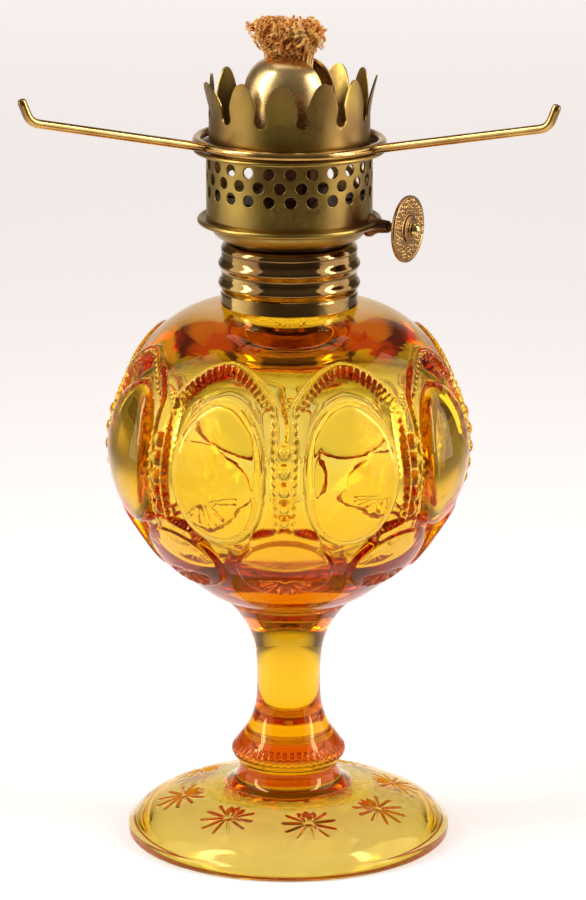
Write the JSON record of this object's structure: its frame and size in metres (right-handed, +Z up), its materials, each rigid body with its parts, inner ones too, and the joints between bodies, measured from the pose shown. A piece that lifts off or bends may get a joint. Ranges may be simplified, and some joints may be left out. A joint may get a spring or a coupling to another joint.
{
  "type": "miniature oil lamp",
  "caption": "Miniature kerosene lamp: pressed amber glass font on a stem and domed foot, brass collar, perforated burner with petal crown, flat wick with winder, and a wire shade holder.",
  "frame": {"origin": "centre of the ring that the foot stands on, at table level, on the lamp's axis", "axes": "+Z up along the lamp's axis, -Y towards the viewer, +X to the viewer's right, the side of the thumbwheel"},
  "size_m": [0.098, 0.091, 0.1591],
  "materials": {
    "amber_glass": "clear pressed amber glass, glossy, yellow where thin and orange-brown where thick",
    "brass": "thin spun and stamped brass, satin, olive tarnish with brown patches",
    "dark_brass": "darker brown-toned brass, satin, tarnish in the hollows",
    "wire_brass": "drawn brass wire, semi-gloss, orange-bronze tone",
    "plaster": "dull off-white setting plaster",
    "wick_cotton": "coarse tan cotton, frayed and singed at the top"
  },
  "bodies": {
    "base": {"glass_base": "amber_glass", "collar": "dark_brass", "collar_plaster": "plaster"},
    "burner": {"thread_cup": "brass", "basket_band": "brass", "crown_gallery": "brass", "deflector_dome": "brass", "wick_tube": "brass", "air_screen": "brass", "shaft_housing": "brass", "shaft_boss": "dark_brass"},
    "wick_knob": {"winder_shaft": "dark_brass", "star_wheel_inner": "brass", "star_wheel_outer": "brass", "thumbwheel": "dark_brass", "thumbwheel_washer": "brass"},
    "wick": {"wick_strip": "wick_cotton", "wick_tuft": "wick_cotton"},
    "shade_holder": {"holder_ring": "wire_brass", "shade_arm_rear": "wire_brass", "shade_arm_left": "wire_brass", "shade_arm_right": "wire_brass"}
  },
  "joints": [
    {"name": "burner_lift", "type": "slide", "parent": "base", "child": "burner", "axis": [0, 0, 1], "range_m": [0, 0.06]},
    {"name": "knob_turn", "type": "hinge", "parent": "burner", "child": "wick_knob", "pos_m": [0.00164, 0.00309, 0.1203], "axis": [-0.8829, 0.4695, 0], "range_deg": [0, 208.4]},
    {"name": "wick_travel", "type": "slide", "parent": "burner", "child": "wick", "axis": [0, 0, 1], "range_m": [0, 0.008]},
    {"name": "holder_turn", "type": "hinge", "parent": "burner", "child": "shade_holder", "pos_m": [0, 0, 0.1356], "axis": [0, 0, 1], "continuous": true}
  ],
  "couplings": [
    {"joint": "knob_turn", "follows": "wick_travel", "rad_per_m": 454.55}
  ]
}
